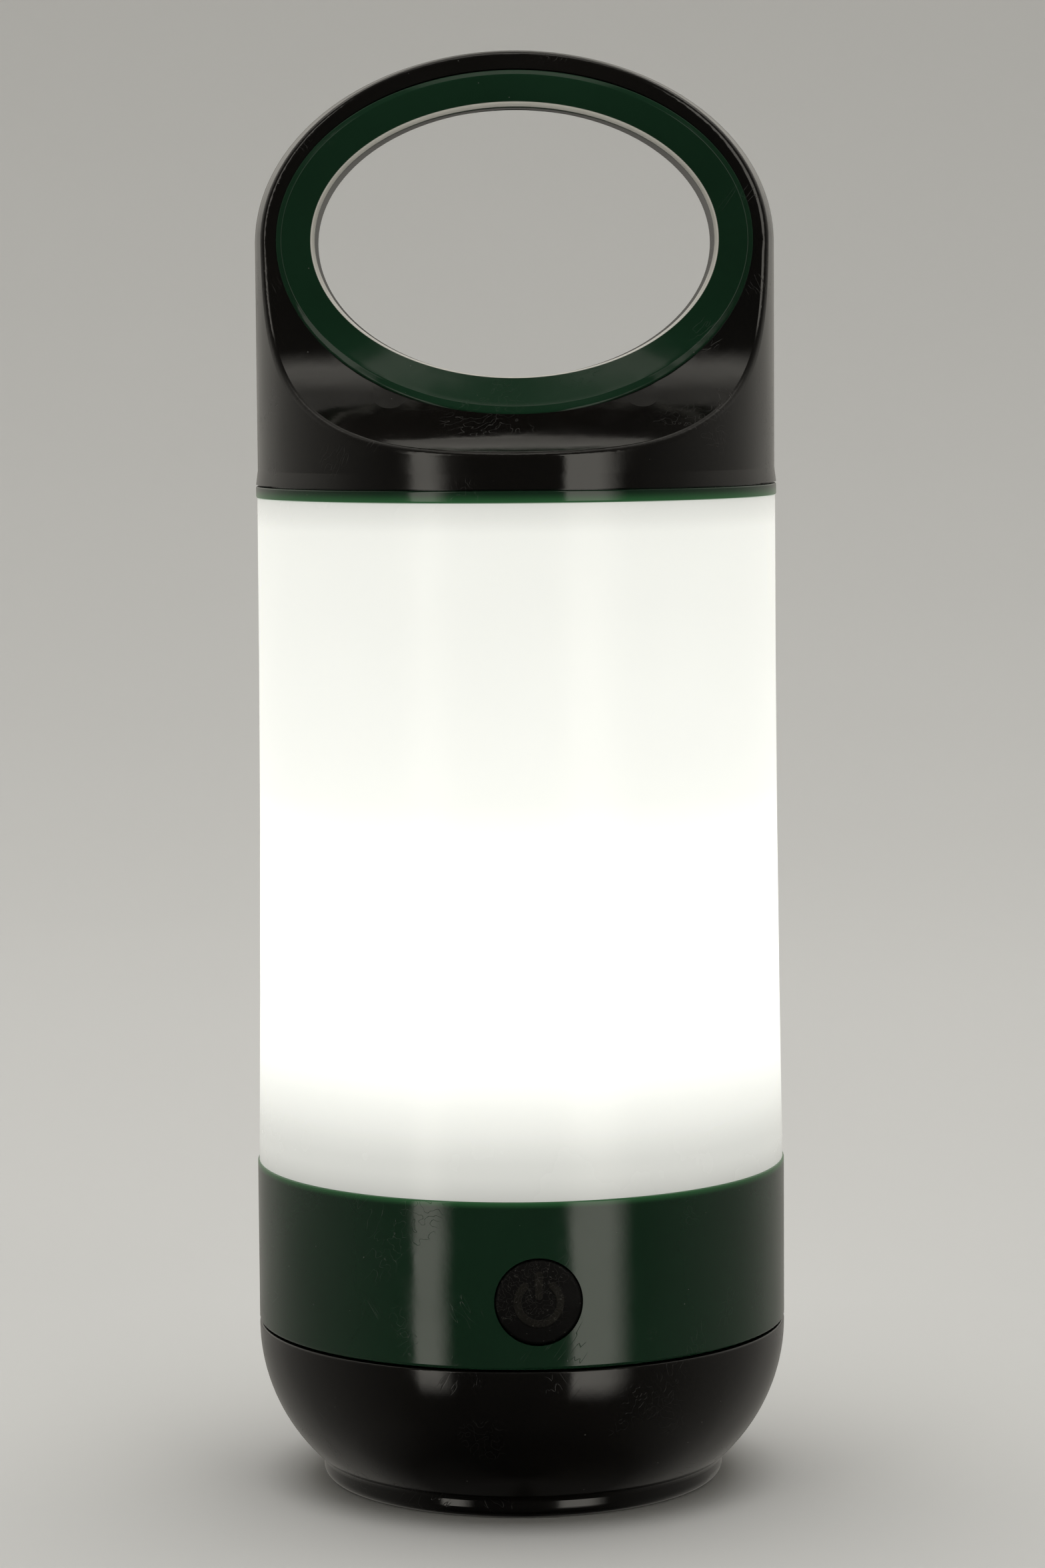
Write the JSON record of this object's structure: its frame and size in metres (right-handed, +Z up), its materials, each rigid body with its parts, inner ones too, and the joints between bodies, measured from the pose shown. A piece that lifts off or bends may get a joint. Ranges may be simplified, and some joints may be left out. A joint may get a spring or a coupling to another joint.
{
  "type": "camping lantern",
  "caption": "Upright battery lantern with an opal diffuser, an arched handle over an oval hand opening, a side push button and a screw-off base.",
  "frame": {"origin": "centre of the foot's resting plane, on the lantern's axis", "axes": "+Z up along the lantern's axis; the hand opening faces -Y and +Y; the power button is 3.3 degrees from -Y towards +X"},
  "size_m": [0.1134, 0.114, 0.3048],
  "materials": {
    "black": "gloss",
    "green": "gloss",
    "opal": "satin",
    "white": "satin",
    "button": "matte",
    "structure": "matte",
    "steel": "satin",
    "board": "satin",
    "led_board": "satin",
    "led": "satin",
    "seal": "matte",
    "cell": "satin",
    "red_wire": "satin",
    "black_wire": "satin"
  },
  "bodies": {
    "body": {"handle_shell": "black", "grip_sleeve": "black", "trim_ring_front": "green", "trim_ring_rear": "green", "top_plate": "green", "handle_screws": "steel", "top_reflector": "white", "reflector_screw": "steel", "diffuser": "opal", "light_deck": "white", "deck_screws": "steel", "led_board": "led_board", "led_board_screws": "steel", "led_emitters": "led", "body_band": "green", "body_core": "structure", "base_seal": "seal", "battery_cradle": "structure", "return_strip": "steel", "contact_board": "board", "contact_board_screws": "steel", "top_terminal": "steel", "top_link": "steel", "top_springs": "steel", "switch_board": "board", "switch_board_screws": "steel", "switch_body": "structure", "button_seal": "seal", "battery_lead_red": "red_wire", "battery_lead_black": "black_wire", "led_lead_red": "red_wire", "led_lead_black": "black_wire"},
    "button": {"power_button": "button", "switch_plunger": "structure"},
    "carrier": {"contact_carrier": "structure", "base_link": "steel", "base_terminal": "steel", "battery_cell_1": "cell", "battery_cell_2": "cell", "battery_cell_3": "cell"},
    "base": {"base_cap": "black", "swivel_screw": "steel"}
  },
  "joints": [
    {"name": "button_press", "type": "slide", "parent": "body", "child": "button", "axis": [-0.0576, 0.9983, 0], "range_m": [0, 0.001], "stiffness_N_per_m": 600},
    {"name": "base_drop", "type": "slide", "parent": "body", "child": "carrier", "axis": [0, 0, -1], "range_m": [0, 0.00444], "deforming": ["top_springs"]},
    {"name": "base_twist", "type": "hinge", "parent": "carrier", "child": "base", "pos_m": [0, 0, 0], "axis": [0, 0, -1], "range_deg": [0, 100.3]}
  ],
  "couplings": [
    {"joint": "base_twist", "follows": "base_drop", "rad_per_m": 392.7}
  ]
}
